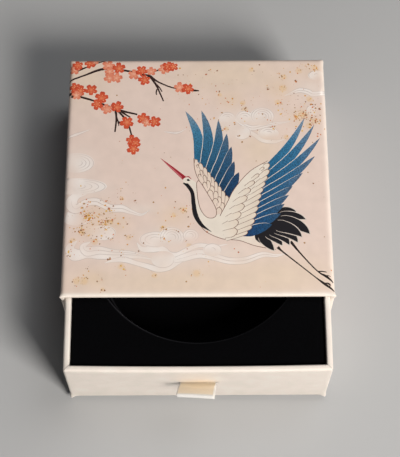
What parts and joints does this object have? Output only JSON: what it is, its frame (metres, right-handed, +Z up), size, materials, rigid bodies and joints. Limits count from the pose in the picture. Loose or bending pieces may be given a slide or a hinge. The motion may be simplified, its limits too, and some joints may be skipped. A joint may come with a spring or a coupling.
{
  "type": "bracelet box",
  "caption": "Square paper-covered drawer box: an open-fronted printed sleeve, and a drawer with a ribbon pull and a black pad whose round recess holds a bracelet.",
  "frame": {"origin": "middle of the sleeve's underside", "axes": "+Z up, -Y the way the drawer pulls out of the sleeve, +X to the right seen from the front"},
  "size_m": [0.1, 0.1355, 0.035],
  "materials": {
    "printed_paper": "satin printed wrapping paper over greyboard",
    "cream_paper": "satin cream wrapping paper over greyboard",
    "black_velvet": "flocked foam",
    "champagne_satin": "satin ribbon"
  },
  "bodies": {
    "sleeve": {"sleeve": "printed_paper"},
    "drawer": {"drawer_tray": "cream_paper", "insert_pad": "black_velvet", "pull_ribbon": "champagne_satin"}
  },
  "joints": [
    {"name": "drawer_slide", "type": "slide", "parent": "sleeve", "child": "drawer", "axis": [0, -1, 0], "range_m": [-0.0277, 0.05]}
  ]
}
